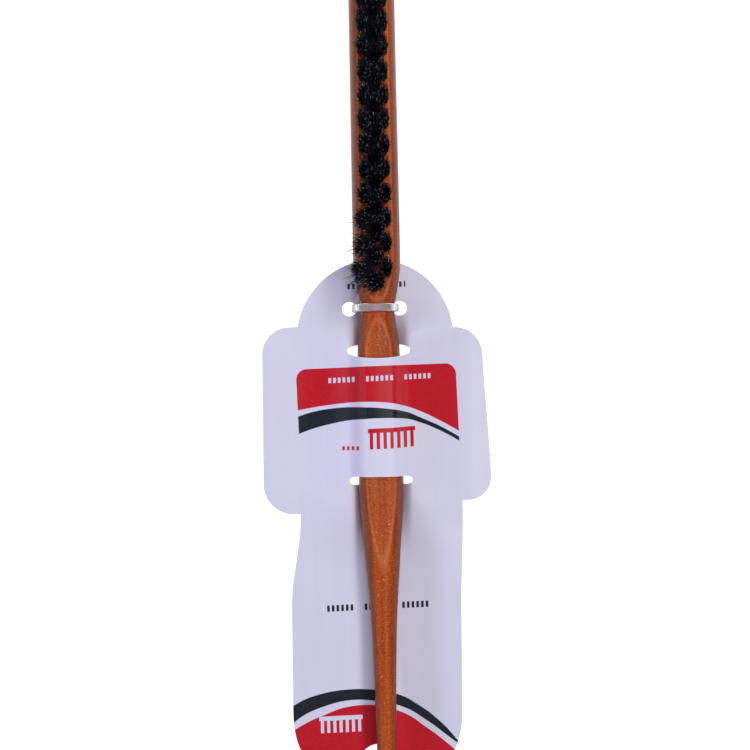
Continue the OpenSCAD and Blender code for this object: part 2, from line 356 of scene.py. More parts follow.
def nylon_material():
    """Milky see-through nylon, faintly cloudy."""
    n = Nodes("nylon")
    cloud = n.noise(n.coords, 420.0, 3.0)
    colour = n.ramp(cloud, [(0.35, (0.46, 0.39, 0.40)), (0.65, (0.61, 0.53, 0.54))])
    return n.set(
        Base_Color=colour,
        Roughness=0.33,
        Transmission_Weight=0.6,
        IOR=1.35,
        Specular_IOR_Level=0.35,
        Normal=n.bump(cloud, 0.15, 0.00005),
    )


def floor_material():
    """Bright white ground."""
    n = Nodes("floor")
    soft = n.noise(n.coords, 9.0, 2.0)
    colour = n.ramp(soft, [(0.3, (0.38, 0.38, 0.38)), (0.7, (0.40, 0.40, 0.40))])
    return n.set(
        Base_Color=colour,
        Roughness=0.9,
        Specular_IOR_Level=0.1,
        Emission_Color=(1.0, 1.0, 1.0),
        Emission_Strength=0.98,
    )


# ---------------------------------------------------------------- wooden body

NECK_Y = 22.4
BELLY_TOP_Y = -14.0
BELLY_LOW_Y = -28.0
TAIL_Y = -72.0
TIP_Y = -108.0
SHOULDER_Y = 37.0
NECK_R = 4.95
BELLY_R = 6.6
TAIL_R = 3.7
TIP_R = 2.85
NECK_REACH = 9
RIDGE = 0.16
WOOD_SIDES = 96
RING_STEP = 1.1
CAP_RINGS = 14
CAP_OPEN = 0.15

# (y, radius) along the stick
STATIONS = [
    (-TAIL_END + TIP_R, TIP_R - 0.1),
    (TIP_Y, TIP_R),
    (TAIL_Y, TAIL_R),
    ((TAIL_Y + BELLY_LOW_Y) / 2, (TAIL_R + BELLY_R) / 2 + 0.05),
    (BELLY_LOW_Y, BELLY_R),
    (BELLY_TOP_Y, BELLY_R),
    ((BELLY_TOP_Y + NECK_Y) / 2 + 6, (BELLY_R + NECK_R) / 2 + 0.45),
    (NECK_Y, NECK_R),
    ((NECK_Y + SHOULDER_Y) / 2 - 2.2, (NECK_R + HEAD_R) / 2 - 0.15),
    (SHOULDER_Y, HEAD_R),
    (HEAD_END - HEAD_R, HEAD_R - 0.2),
]


def chord(i):
    """Slope of the straight line from station i to the next one."""
    (y0, r0), (y1, r1) = STATIONS[i], STATIONS[i + 1]
    return (r1 - r0) / (y1 - y0)


def slope(i):
    """Slope of the outline at station i, kept from overshooting."""
    if i == 0:
        return chord(0)
    if i == len(STATIONS) - 1:
        return 0.0
    a, b = chord(i - 1), chord(i)
    return 0.0 if a * b <= 0 else 2 * a * b / (a + b)


def turned_radius(y):
    """Radius of the turned stick, with a round cap at each end."""
    first, last = STATIONS[0], STATIONS[-1]
    if y < first[0]:
        return first[1] * math.sqrt(max(0.0, 1 - ((first[0] - y) / first[1]) ** 2))
    if y > last[0]:
        return last[1] * math.sqrt(max(0.0, 1 - ((y - last[0]) / (HEAD_END - last[0])) ** 2))
    i = max(k for k in range(len(STATIONS) - 1) if STATIONS[k][0] <= y)
    (y0, r0), (y1, r1) = STATIONS[i], STATIONS[i + 1]
    w = y1 - y0
    t = (y - y0) / w
    return (
        r0 * (1 + 2 * t) * (1 - t) ** 2
        + slope(i) * w * t * (1 - t) ** 2
        + r1 * t * t * (3 - 2 * t)
        - slope(i + 1) * w * t * t * (1 - t)
    )


def flat_half(y, r):
    """Half the thickness between the planed flats; the sanded neck is a little thinner."""
    near_neck = 1 - smooth(abs(y - NECK_Y) / NECK_REACH)
    return min(SLAB, r * (1 - 0.06 * near_neck)) if near_neck > 0 else SLAB


def soft_limit(z, limit):
    """min(z, limit) with a worn ridge about RIDGE wide, for z of either sign."""
    size = abs(z)
    over = (size - limit) / RIDGE
    if over < -12:
        return z
    clipped = size - RIDGE * math.log1p(math.exp(over)) if over < 30 else limit
    return math.copysign(clipped, z)


def wood_ring(y):
    r = turned_radius(y)
    limit = flat_half(y, r)
    ring = []
    for j in range(WOOD_SIDES):
        a = 2 * math.pi * j / WOOD_SIDES
        ring.append((r * math.cos(a), y, AXIS_Z + soft_limit(r * math.sin(a), limit)))
    return ring


def build_wood(material):
    """The turned stick, with rings about RING_STEP apart and closer ones over its round ends."""
    (first, tip_r), last = STATIONS[0], STATIONS[-1][0]
    quarter = math.pi / 2 / CAP_RINGS
    ys = [first - tip_r * math.cos(quarter * (i + CAP_OPEN)) for i in range(CAP_RINGS)]
    steps = int((last - first) / RING_STEP)
    ys += [first + (last - first) * i / steps for i in range(steps)]
    ys += [last + (HEAD_END - last) * math.sin(quarter * i) for i in range(CAP_RINGS)]
    ys.append(last + (HEAD_END - last) * math.sin(quarter * (CAP_RINGS - CAP_OPEN)))
    verts, faces = loft([wood_ring(y) for y in ys])
    wood = mesh_piece("wooden_body", verts, faces, "brush", material)
    drill_tuft_holes(wood)
    shade_smooth(wood.data, sharp_angle=40)
    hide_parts("brush_body")


def drill_tuft_holes(wood):
    """Cuts the tuft holes, each with a small chamfer at its mouth."""
    profile = [
        (HOLE_R, FRONT_Z - HOLE_DEPTH), (HOLE_R, FRONT_Z - CHAMFER),
        (HOLE_R + CHAMFER, FRONT_Z), (HOLE_R + 3 * CHAMFER, FRONT_Z + 2 * CHAMFER),
    ]
    verts, faces = [], []
    for row, count in enumerate(ROW_COUNTS):
        for k in range(count):
            x, y = tuft_root(row, k)
            rings = [[(*p, z) for p in circle_points(x, y, r, HOLE_SIDES)] for r, z in profile]
            more_verts, more_faces = loft(rings)
            faces += [tuple(i + len(verts) for i in face) for face in more_faces]
            verts += more_verts
    drill = mesh_object("drill", verts, faces)
    cut = wood.modifiers.new("holes", "BOOLEAN")
    cut.operation = "DIFFERENCE"
    cut.solver = "EXACT"
    cut.object = drill
    apply_modifiers(wood)
    mesh = drill.data
    bpy.data.objects.remove(drill)
    bpy.data.meshes.remove(mesh)


def apply_modifiers(obj):
    graph = bpy.context.evaluated_depsgraph_get()
    mesh = bpy.data.meshes.new_from_object(obj.evaluated_get(graph))
    old = obj.data
    obj.modifiers.clear()
    obj.data = mesh
    bpy.data.meshes.remove(old)


# ---------------------------------------------------------------- bristles


def tuft_root(row, k):
    """Where tuft k of a row stands on the front flat; k = 0 is next to the neck."""
    x = (row - MIDDLE) * ROW_OFFSET
    y = LAST_OUTER_Y - (ROW_COUNTS[LEFT] - 1 - k) * PITCH
    return x, y - (PITCH / 2 if row == MIDDLE else 0)


# lean in degrees of each row's tuft by the neck, and the direction in which all of them lean
LEAN_MOST = [16, 8, 0]
LEAN_TURN = 20

# sideways run of the outermost strands, per unit of height, across and along each row
SPLAY_X = [0.055, 0.155, 0.035]
SPLAY_Y = [0.175, 0.330, 0.165]
STRANDS = [290, 360, 260]
STRAND_STEPS = 5


def build_tuft(row, k, material):
    """One tuft of loose strands, each bent a little, standing in its hole."""
    rng = random.Random(1000 * row + k)
    x0, y0 = tuft_root(row, k)
    near_neck = math.exp(-k * k / 6)
    lean = math.radians(LEAN_MOST[row] * near_neck + rng.uniform(0, 1.5))
    turn = math.radians(LEAN_TURN)
    away = Vector((-math.cos(turn), -math.sin(turn), 0))
    loose = 1 + 0.4 * near_neck
    squeeze = 1 - 0.45 * near_neck * (row == MIDDLE)
    strays = 12 if row == LEFT and k < 5 else 3
    verts, faces, pale = [], [], []
    for i in range(STRANDS[row]):
        spot = 2 * math.pi * rng.random()
        out = rng.random() ** 0.42
        ux, uy = out * math.cos(spot), out * math.sin(spot)
        root = Vector((x0 + ux * ROOT_R, y0 + uy * ROOT_R, FRONT_Z - ROOT_DEPTH))
        flare = Vector((
            ux * SPLAY_X[row] * loose + rng.gauss(0, 0.012 * loose),
            uy * SPLAY_Y[row] * squeeze + rng.gauss(0, 0.022 * loose),
            0,
        ))
        if i < strays:
            flare += away * rng.uniform(0.10, 0.30) * near_neck**3
            flare += Vector((rng.gauss(0, 0.04), rng.gauss(0, 0.07), 0))
        elif row == LEFT and k == 0 and i < 2 * strays:
            flare -= Vector((rng.uniform(0.0, 0.35), rng.uniform(0.25, 0.70), 0))
        curl = Vector((rng.gauss(0, 0.03 * loose), rng.gauss(0, 0.04 * loose), 0))
        length = BRISTLE_H * rng.uniform(0.88, 0.985) + ROOT_DEPTH
        add_strand(verts, faces, pale, root, flare, curl, away, lean, length, rng)
    name = f"{ROW_NAMES[row]}_{k + 1:02d}"
    tuft = mesh_piece("bristles_" + name, verts, faces, "brush", material)
    attribute = tuft.data.attributes.new("pale", "FLOAT", "POINT")
    attribute.data.foreach_set("value", pale)
    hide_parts("tuft_" + name)


def add_strand(verts, faces, pale, root, flare, curl, away, lean, length, rng):
    """A three-sided strand whose lean grows along its length."""
    radius = rng.uniform(0.09, 0.125)
    worn_tip = rng.random() < 0.05
    here = root.copy()
    start = len(verts)
    for s in range(STRAND_STEPS + 1):
        t = s / STRAND_STEPS
        angle = lean * (0.25 + 1.25 * t)
        side = flare + curl * t
        direction = Vector((0, 0, math.cos(angle))) + away * math.sin(angle) + side
        direction.normalize()
        across = direction.cross(Vector((0.3, 1.0, 0.1))).normalized()
        other = direction.cross(across)
        r = radius * (1 - (0.1 if worn_tip else 0.55) * t**3)
        for c in range(3):
            a = 2 * math.pi * c / 3
            verts.append(tuple(here + across * (r * math.cos(a)) + other * (r * math.sin(a))))
            pale.append(rng.uniform(0.5, 1.0) * smooth((t - 0.82) / 0.12) if worn_tip else 0.0)
        here = here + direction * (length / STRAND_STEPS)
    for s in range(STRAND_STEPS):
        for c in range(3):
            a, b = start + 3 * s + c, start + 3 * s + (c + 1) % 3
            faces.append((a, b, b + 3, a + 3))
    faces.append((start + 2, start + 1, start))
    end = start + 3 * STRAND_STEPS
    faces.append((end, end + 1, end + 2))


# ---------------------------------------------------------------- hang card

CARD_T = 0.45
CLEAR = 0.3
CARD_FRONT = -SLAB - CLEAR
RISE = -CARD_FRONT

# outline; pairs are for the left side (-1) and the right side (1)
LOBE_R = 23.3
LOBE_CY = 14.0
WING_HALF = 33.6
WING_TOP = {-1: 17.6, 1: 16.7}
WING_LOW = {-1: -38.0, 1: -35.0}
WING_R_LOW = {-1: 9.0, 1: 7.0}
WING_R_TOP = 8.0
RIGHT_PULL = 2.5
RIGHT_MORE = 0.8
LEG_HALF = 25.3
LEG_LEAN = 0.45
LEG_CY = -97.3
LEG_END = 24.7
END_POWER = 2.3
LEG_WAIST_Y = -66.0
LEG_WAIST = {-1: 3.0, 1: -0.7}
LEG_WAIST_RUN = 27.0
CARD_SKEW = 0.0096
CARD_X = -0.8
CARD_SKEW_Y = 23.8

# slots, peg hole and tie holes; the holes are (x, y, radius)
SLOT_HALF = 9.2
SLOT_TOP_Y = 10.1
SLOT_LOW_Y = -28.1
SLOT_TOP_OPEN = 4.6
SLOT_LOW_OPEN = 2.8
STEP_HALF = 0.2
PEG_HOLE = (-2.2, -113.7, 6.2)
PEG_HOLE_SIDES = 56
TIE_HOLES = [(-8.45, TIE_Y, 2.15), (6.55, TIE_Y, 2.15)]
TIE_HOLE_SIDES = 36

# the sheet's bends
FLAT_HALF = 3.8
WING_REACH = 20.0
STRAP_FOOT = 0.52
CROWN_H = 0.9
CROWN_HALF = 8.0
WING_FOLD_X = 12.0
WING_FOLD_RUN = 21.0
WING_FADE_RUN = 30.0
RIGHT_DROOP = 2.6
LEFT_LIFT = 1.5
NEAR_STRAP_RUN = 8.0
GUTTER_START = 1.0
GUTTER_RUN_UP = 16.0
GUTTER_RUN_DOWN = 26.0
LEG_DROOP_START = 12.0
LEG_DROOP_RUN = 85.0

# grid of the sheet: its extent, its steps in x and y where the sheet is bent and elsewhere, how
# far the bent part reaches, and how far the grid stays off the edges
GRID_X = (-36.0, 36.0)
GRID_Y = (-122.0, 37.0)
BENT_STEP = (0.55, 1.1)
PLAIN_STEP = (1.5, 2.0)
BENT_HALF = 12
BENT_PAST = 14
BENT_GAP = 0.3
PLAIN_GAP = 0.6


def centre_x(y):
    """The card's slightly skewed middle line."""
    return CARD_X - (CARD_SKEW_Y - y) * CARD_SKEW


def round_half(r, off):
    """Half the width of a circle of radius r at a distance from its centre."""
    return math.sqrt(max(0, r**2 - off**2))


def wing_edge(y, top, low, r_low, half):
    if y > top - WING_R_TOP:
        return half - WING_R_TOP + round_half(WING_R_TOP, y - top + WING_R_TOP)
    if y < low + r_low:
        return half - r_low + round_half(r_low, low + r_low - y)
    return half


def leg_edge(y, side):
    waist = LEG_WAIST[side] * smooth((y - LEG_WAIST_Y) / LEG_WAIST_RUN)
    return LEG_HALF - side * LEG_LEAN - waist


def leg_end_share(y):
    down = max(0.0, LEG_CY - y) / LEG_END
    return max(0.0, 1 - down**END_POWER) ** (1 / END_POWER)


def half_width(y, side):
    """Distance of the card's edge from its middle line."""
    top, low, r_low = WING_TOP[side], WING_LOW[side], WING_R_LOW[side]
    more = 0 if side < 0 else RIGHT_MORE - RIGHT_PULL * smooth((y - low) / (top - low))
    if y > top:
        return round_half(LOBE_R, y - LOBE_CY)
    if y > low:
        return wing_edge(y, top, low, r_low, WING_HALF + more)
    return leg_edge(y, side) * leg_end_share(y)


def over(y):
    """1 on the strap between the slots, which passes over the belly."""
    return 1 if SLOT_LOW_Y < y < SLOT_TOP_Y else 0


def near_strap(y):
    """1 level with the strap, and 0 well above and below it."""
    above, below = y - SLOT_TOP_Y, SLOT_LOW_Y - y
    return (1 - smooth(above / NEAR_STRAP_RUN)) * (1 - smooth(below / NEAR_STRAP_RUN))


def hump(x, foot):
    """The strap's height across the belly, from 1 down to 0; foot makes its foot steeper."""
    t = min(1, max(0, (abs(x) - FLAT_HALF) / (SLOT_HALF - FLAT_HALF)))
    return 1 - smooth(t) + foot * t * t * (1 - t)


def outer_fade(x, y):
    """1 at the slots' ends, fading outwards: quickly beside the strap, and softly elsewhere."""
    t = min(1, max(0, (abs(x) - SLOT_HALF) / WING_REACH))
    near = near_strap(y)
    return near * (1 - t) ** 2 + (1 - near) * (1 - smooth(t))


def gutter(x, y):
    """How far the sheet beside the belly is drawn up towards the brush axis."""
    return (
        (1 - hump(x, STRAP_FOOT * over(y)))
        * outer_fade(x, y)
        * (1 - smooth((y - SLOT_TOP_Y - GUTTER_START) / GUTTER_RUN_UP))
        * (1 - smooth((SLOT_LOW_Y - GUTTER_START - y) / GUTTER_RUN_DOWN))
    )


def crown(x):
    return CROWN_H * max(0, 1 - (x / CROWN_HALF) ** 2) ** 2


def wing_bend(x, y):
    fade = 1 - smooth((SLOT_LOW_Y - y) / WING_FADE_RUN)
    bend = smooth((abs(x) - WING_FOLD_X) / WING_FOLD_RUN) * fade
    return -RIGHT_DROOP * bend if x > 0 else LEFT_LIFT * bend


def leg_droop(y):
    share = smooth((SLOT_LOW_Y - LEG_DROOP_START - y) / LEG_DROOP_RUN)
    return (AXIS_Z + CARD_FRONT - CARD_T) * share


def front_z(x, y):
    return (
        AXIS_Z + CARD_FRONT + RISE * gutter(x, y)
        + ((2 * RISE + CARD_T) * hump(x, STRAP_FOOT) + crown(x)) * over(y)
        + wing_bend(x, y) - leg_droop(y)
    )


def back_z(x, y):
    step = 0.1
    steep = (front_z(x + step, y) - front_z(x - step, y)) / (2 * step)
    return front_z(x, y) - CARD_T * math.sqrt(1 + steep * steep)


def card_outline():
    """Edge of the card, counter-clockwise from the top, with rows a hair off each step in it."""
    top = LOBE_CY + LOBE_R
    bottom = LEG_CY - LEG_END
    hair = 0.001
    leg_step, wing_step = 3.0, 2.0
    turns = [math.sin(math.pi / 2 * i / 60) for i in range(1, 60)]
    corner_turns = [math.sin(math.pi / 2 * i / 12) for i in range(13)]
    sides = {}
    for side in (-1, 1):
        wing_top, low, r_low = WING_TOP[side], WING_LOW[side], WING_R_LOW[side]
        rows = {y for y in (LOBE_CY + LOBE_R * t for t in turns) if y > wing_top + 0.02}
        rows |= {LEG_CY - LEG_END * t for t in turns}
        rows.add(wing_top + hair)
        rows |= {wing_top - WING_R_TOP + WING_R_TOP * t for t in corner_turns}
        rows |= {low + r_low * (1 - t) + hair for t in corner_turns}
        rows |= {low - hair - leg_step * i for i in range(int((low - LEG_CY) / leg_step))}
        rows |= {low + r_low + wing_step * (i + 1) for i in range(17)}
        sides[side] = [
            (centre_x(y) + side * half_width(y, side), y) for y in sorted(rows, reverse=True)
        ]
    return [(centre_x(top), top)] + sides[-1] + [(centre_x(bottom), bottom)] + sides[1][::-1]


def slot_points(y, open_width, power, count=32):
    """A slot that is widest in the middle: an ellipse for power 2, blunter for more."""
    xs = [SLOT_HALF * math.cos(math.pi * i / count) for i in range(count + 1)]
    more = open_width / 2 - STEP_HALF
    shares = [max(0.0, 1 - min(1.0, abs(x) / SLOT_HALF) ** power) for x in xs]
    half = [STEP_HALF + more * math.sqrt(share) for share in shares]
    return [(x, y + h) for x, h in zip(xs, half)] + [(x, y - h) for x, h in zip(xs, half)][::-1]


def segments(loop):
    return zip(loop, loop[1:] + loop[:1])


def inside_loop(x, y, loop):
    hit = False
    for (x1, y1), (x2, y2) in segments(loop):
        if (y1 > y) != (y2 > y) and x < (x2 - x1) * (y - y1) / (y2 - y1) + x1:
            hit = not hit
    return hit


def edge_distance(x, y, loops):
    """Distance from a point to the nearest outline segment, or infinity if none is near."""
    far, tiny = 4, 1e-12
    best = math.inf
    for loop in loops:
        for (x1, y1), (x2, y2) in segments(loop):
            if min(abs(y1 - y), abs(y2 - y)) > far:
                continue
            dx, dy = x2 - x1, y2 - y1
            along = ((x - x1) * dx + (y - y1) * dy) / max(tiny, dx * dx + dy * dy)
            t = max(0, min(1, along))
            best = min(best, math.hypot(x1 + t * dx - x, y1 + t * dy - y))
    return best


def card_grid(loops):
    """Inner points of the sheet, denser where it bends over the belly."""
    edge, holes = loops[0], loops[1:]
    points = []
    y = GRID_Y[0]
    while y < GRID_Y[1]:
        strap = SLOT_LOW_Y - BENT_PAST < y < SLOT_TOP_Y + BENT_PAST
        x = GRID_X[0]
        while x < GRID_X[1]:
            fine = strap and abs(x) < BENT_HALF
            inner = inside_loop(x, y, edge) and not any(inside_loop(x, y, h) for h in holes)
            if inner and edge_distance(x, y, loops) > (BENT_GAP if fine else PLAIN_GAP):
                points.append((x, y))
            x += BENT_STEP[0] if fine else PLAIN_STEP[0]
        y += BENT_STEP[1] if strap else PLAIN_STEP[1]
    return points


def build_card(front_material, back_material):
    """The sheet: a flat triangulation between the outline and the holes, bent and thickened."""
    loops = [card_outline()]
    loops += [slot_points(SLOT_TOP_Y, SLOT_TOP_OPEN, 2), slot_points(SLOT_LOW_Y, SLOT_LOW_OPEN, 8)]
    loops.append(circle_points(*PEG_HOLE, PEG_HOLE_SIDES))
    loops += [circle_points(*hole, TIE_HOLE_SIDES) for hole in TIE_HOLES]
    verts, faces = [], []
    for loop in loops:
        faces.append(list(range(len(verts), len(verts) + len(loop))))
        verts += loop
    verts += card_grid(loops)
    flat = delaunay_2d_cdt([Vector(v) for v in verts], [], faces, 0, 1e-5)
    points, triangles, origins = flat[0], flat[2], flat[5]
    sheet = [t for t, o in zip(triangles, origins) if o == [0]]
    used = sorted({i for t in sheet for i in t})
    index = {old: new for new, old in enumerate(used)}
    flat_points = [points[i] for i in used]
    n = len(flat_points)
    out = [(p.x, p.y, front_z(p.x, p.y)) for p in flat_points]
    out += [(p.x, p.y, back_z(p.x, p.y)) for p in flat_points]
    polygons, edges = [], set()
    for t in sheet:
        a, b, c = (index[i] for i in t)
        p, q, r = flat_points[a], flat_points[b], flat_points[c]
        if (q - p).cross(r - p) < 0:
            b, c = c, b
        polygons.append((a, b, c))
        edges |= {(a, b), (b, c), (c, a)}
    front_count = len(polygons)
    polygons += [(c + n, b + n, a + n) for a, b, c in polygons]
    polygons += [(v, u, u + n, v + n) for u, v in sorted(edges) if (v, u) not in edges]
    card = mesh_piece(
        "hang_card_sheet", out, polygons, "card", front_material, sharp_angle=50
    )
    card.data.materials.append(back_material)
    for polygon in card.data.polygons:
        polygon.material_index = 0 if polygon.index < front_count else 1
    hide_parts("hang_card")


# ---------------------------------------------------------------- print on the card

# width of a printed edge's blur in metres, and the slope of the level lines
BLUR = 0.12 * MM
PRINT_SKEW = 0.03

# width over which the printed curves are defined, then the plain marks
CURVE_SPAN = 60.0
DASH_PITCH = 1.4
COMB_BACK = 1.3
COMB_TEETH = 7

# plain marks: (left, right, bottom, top)
RED_COMB = (-3.6, 10.3, -18.6, -12.6)
RED_DASHES = (-13.0, -6.0, -18.8, -17.6)
WHITE_COMB = (-20.0, -7.0, -103.4, -98.4)
WHITE_DASHES = (-16.7, 16.0, 1.2, 2.7)
LEG_DASHES = (-18.6, 14.4, -66.9, -65.0)
LOBE_DASHES = (-10.6, 8.4, 28.8, 30.4)

PANEL_LEFT = -24.7
PANEL_RIGHT = 22.9
PANEL_TOP_LEFT = 5.0
PANEL_TOP_RIGHT = 6.0
PANEL_CORNER = 3.2

# curved printed edges: (x, y) control points
PANEL_RED_LOW = [
    (-24.7, -7.2), (-14, -5.6), (-5, -4.85), (2, -5.15),
    (7, -6.2), (12.2, -8.15), (17.5, -10.8), (23.6, -14.3),
]
PANEL_BAND_TOP = [
    (-24.1, -8.9), (-13.8, -6.7), (-5, -6.4), (2.4, -6.96),
    (7.2, -7.9), (12, -9.9), (16.8, -12.1), (23.6, -16),
]
PANEL_BAND_LOW = [
    (-24, -14.1), (-14.8, -11.35), (-6.5, -10), (2.3, -9.65),
    (7.1, -10), (11.9, -11.35), (16.7, -13.4), (23.7, -17.3),
]
END_BAND_TOP = [
    (-27.5, -95.4), (-18.4, -91.9), (-9.5, -90.85), (-2.9, -91.2),
    (3.6, -92.6), (9.7, -95.9), (15.8, -100.7), (21, -106.5),
]
END_BAND_LOW = [
    (-27.5, -100.5), (-18.4, -95.9), (-9.6, -94.1), (-3, -94.5),
    (3.6, -95.9), (12.2, -100.7), (17.4, -104.7), (20.7, -107.3),
]
END_RED_TOP = [
    (-27.6, -102.9), (-18.5, -98.5), (-9.6, -95.9), (-3, -95.8),
    (3.5, -97.5), (12.2, -102.9), (18.8, -108.2),
]


def print_curve(n, x, points):
    """Height of a smooth printed edge, y as a function of x, through control points."""
    node = n.tree.nodes.new("ShaderNodeFloatCurve")
    n.link(n.math("MULTIPLY_ADD", x, 1 / (CURVE_SPAN * MM), 0.5), node.inputs["Value"])
    curve = node.mapping.curves[0]
    node.mapping.use_clip = False
    while len(curve.points) < len(points):
        curve.points.new(0.5, 0.5)
    lowest = min(p[1] for p in points) - 1
    height = max(p[1] for p in points) + 1 - lowest
    for point, (px, py) in zip(curve.points, points):
        point.location = (px / CURVE_SPAN + 0.5, (py - lowest) / height)
        point.handle_type = "AUTO"
    node.mapping.update()
    return n.math("MULTIPLY_ADD", node.outputs[0], height * MM, lowest * MM)


def card_front_material():
    """Glossy white board with a plain red panel and a dark curved band at each end."""
    n = Nodes("card_print")
    x, y, _ = n.axes()
    fibre = n.noise(n.coords, 900.0, 3.0)
    cloud = n.noise(n.coords, 28.0, 2.0)
    streaks = n.noise(n.scaled(330, 5, 330), 1.0, 2.0)
    white = n.ramp(cloud, [(0.3, (0.640, 0.622, 0.775)), (0.7, (0.668, 0.650, 0.800))])
    # faint lengthwise streaks, a little darker or lighter than the white
    faint_streaks = n.ramp(streaks, [(0.35, (0.985, 0.985, 0.99)), (0.65, (1.005, 1.005, 1.005))])
    white = n.mix(1.0, white, faint_streaks, "MULTIPLY")
    red = n.ramp(fibre, [(0.3, (0.49, 0.009, 0.020)), (0.7, (0.53, 0.013, 0.026))])
    dark = n.ramp(fibre, [(0.3, (0.012, 0.015, 0.024)), (0.7, (0.017, 0.021, 0.031))])
    panel_red, panel_band = print_panel(n, x, y)
    end_red, end_band = print_end(n, x, y)
    colour = n.mix(n.larger(panel_red, end_red), white, red)
    colour = n.mix(n.larger(panel_band, end_band), colour, dark)
    level = n.math("MULTIPLY_ADD", x, -PRINT_SKEW, y)
    combs = [print_comb(n, x, level, box) for box in (RED_COMB, WHITE_COMB)]
    dashes = [print_dashes(n, x, level, box) for box in (RED_DASHES, WHITE_DASHES)]
    dark_lines = [print_dashes(n, x, level, box) for box in (LEG_DASHES, LOBE_DASHES)]
    colour = n.mix(n.larger(combs[0], dashes[0]), colour, red)
    colour = n.mix(n.larger(combs[1], dashes[1]), colour, white)
    colour = n.mix(n.larger(*dark_lines), colour, dark)
    return n.set(
        Base_Color=colour,
        Roughness=0.32,
        Specular_IOR_Level=0.12,
        Normal=n.bump(fibre, 0.08, 0.00004),
    )


def print_comb(n, x, y, box):
    """A plain comb: a back along its top edge, and teeth."""
    left, right, _, top = box
    back = n.rectangle(x, y, (left, right, top - COMB_BACK, top), BLUR)
    teeth = n.stripes(x, left, (right - left) / COMB_TEETH, 0.5, BLUR)
    return n.larger(back, n.mul(n.rectangle(x, y, box, BLUR), teeth))


def print_dashes(n, x, y, box):
    """A line of plain dashes in groups of six, with room for two between the groups."""
    line = n.rectangle(x, y, box, BLUR)
    strokes = n.stripes(x, box[0], DASH_PITCH, 0.56, BLUR)
    groups = n.stripes(x, box[0], 8 * DASH_PITCH, 6 / 8, BLUR)
    return n.mul(line, n.mul(strokes, groups))


def between(n, y, low, high):
    return n.mul(n.inside(n.sub(y, high), BLUR), n.inside(n.sub(low, y), BLUR))


def print_panel(n, x, y):
    """Masks of the red panel on the strap and of the dark band under it."""
    tilt = (PANEL_TOP_RIGHT - PANEL_TOP_LEFT) / (PANEL_RIGHT - PANEL_LEFT)
    middle = (PANEL_LEFT + PANEL_RIGHT) / 2
    top = n.math("MULTIPLY_ADD", x, tilt, (PANEL_TOP_LEFT - tilt * PANEL_LEFT) * MM)
    half = (PANEL_RIGHT - PANEL_LEFT) / 2 - PANEL_CORNER
    slanted = n.math("MULTIPLY_ADD", y, PRINT_SKEW, -PRINT_SKEW * PANEL_TOP_LEFT * MM)
    dx = n.sub(n.math("ABSOLUTE", n.sub(n.add(x, slanted), middle * MM)), half * MM)
    dy = n.add(n.sub(y, top), PANEL_CORNER * MM)
    ax, ay = n.larger(dx, 0.0), n.larger(dy, 0.0)
    radial = n.math("SQRT", n.add(n.mul(ax, ax), n.mul(ay, ay)))
    panel = n.inside(n.sub(radial, PANEL_CORNER * MM), BLUR)
    sides = n.inside(n.sub(dx, PANEL_CORNER * MM), BLUR)
    red_low = print_curve(n, x, PANEL_RED_LOW)
    red = n.mul(panel, n.inside(n.sub(red_low, y), BLUR))
    band_low, band_top = (print_curve(n, x, p) for p in (PANEL_BAND_LOW, PANEL_BAND_TOP))
    return red, n.mul(sides, between(n, y, band_low, band_top))


def print_end(n, x, y):
    """Masks of the red field and the dark band at the card's far end."""
    red_top = print_curve(n, x, END_RED_TOP)
    band_low, band_top = (print_curve(n, x, p) for p in (END_BAND_LOW, END_BAND_TOP))
    return n.inside(n.sub(y, red_top), BLUR), between(n, y, band_low, band_top)


def card_back_material():
    """Uncoated greyish white back and cut edge of the board."""
    n = Nodes("card_back")
    fibre = n.noise(n.coords, 700.0, 4.0)
    colour = n.ramp(fibre, [(0.3, (0.60, 0.60, 0.64)), (0.7, (0.68, 0.68, 0.71))])
    return n.set(
        Base_Color=colour,
        Roughness=0.62,
        Normal=n.bump(fibre, 0.2, 0.00004),
    )


# ---------------------------------------------------------------- cable tie

TIE_W = 2.15
TIE_T = 0.95
TIE_INNER = 6.0
TIE_ARC_Z = AXIS_Z - 0.3
TIE_CORNER = 1.0
TIE_EDGE = 0.16
TIE_CROWN = 0.03
TIE_HEAD = (4.6, 4.4, 2.8)
TIE_HEAD_WALL = 0.8
TIE_HEAD_BEVEL = 0.3
TIE_WINDOW_Z = (0.55, 1.85)
TIE_WINDOW_R = 0.15
TIE_END_Z = 0.7
TIE_END_PAST = 1.6
TIE_END_R = 0.14


def arc(x, z, r, start, turn, steps):
    """Points of an arc as (x, z, outward x, outward z), from start on, in radians."""
    angles = [start + turn * i / steps for i in range(steps + 1)]
    return [(x + r * math.cos(a), z + r * math.sin(a), math.cos(a), math.sin(a)) for a in angles]


def tie_path():
    """Middle line of the strap seen along the brush, as (x, z, outward x, outward z)."""
    r = TIE_INNER + TIE_T / 2
    low = TIE_HEAD[2] - TIE_T / 2
    side, base = r - TIE_CORNER, low + TIE_CORNER
    quarter = math.pi / 2
    path = arc(0, TIE_ARC_Z, r, 0, math.pi, 32)
    path += [(-r, TIE_ARC_Z + (base - TIE_ARC_Z) * i / 5, -1.0, 0.0) for i in range(1, 5)]
    path += arc(-side, base, TIE_CORNER, math.pi, quarter, 6)
    path += [(-side + 2 * side * i / 12, low, 0.0, -1.0) for i in range(1, 12)]
    path += arc(side, base, TIE_CORNER, 3 * quarter, quarter, 6)
    path += [(r, base + (TIE_ARC_Z - base) * i / 5, 1.0, 0.0) for i in range(1, 5)]
    return path


